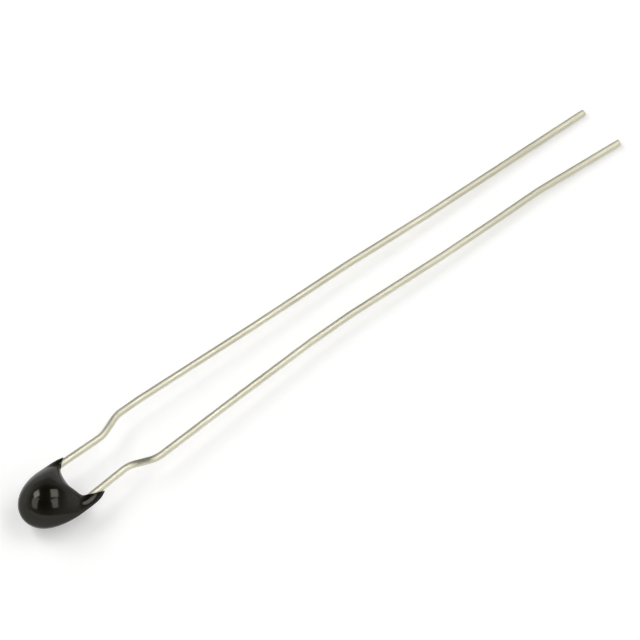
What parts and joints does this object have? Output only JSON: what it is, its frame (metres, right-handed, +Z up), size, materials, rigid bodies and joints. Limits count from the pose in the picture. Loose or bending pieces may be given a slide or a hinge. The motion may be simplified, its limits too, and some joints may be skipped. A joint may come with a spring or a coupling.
{
  "type": "thermistor",
  "caption": "Small black epoxy-dipped bead thermistor with long bare wire leads, each kinked outward just past the bead.",
  "frame": {"origin": "on the surface that the thermistor lies on, half way along its length, midway between the leads where they leave the coating", "axes": "+X along the leads, from the bead to the cut ends; +Y across them, towards the left lead; +Z up"},
  "size_m": [0.0526, 0.0051, 0.0036],
  "materials": {
    "black_epoxy": "glossy dipped epoxy",
    "ntc_ceramic": "matt sintered oxide ceramic",
    "fired_silver": "matt fired silver paste",
    "solder": "satin tin solder",
    "tinned_wire": "bright tinned wire"
  },
  "bodies": {
    "root": {"epoxy_coating": "black_epoxy", "ntc_chip": "ntc_ceramic", "electrode_top": "fired_silver", "electrode_bottom": "fired_silver", "solder_top": "solder", "solder_bottom": "solder", "lead_left": "tinned_wire", "lead_right": "tinned_wire"}
  },
  "joints": []
}
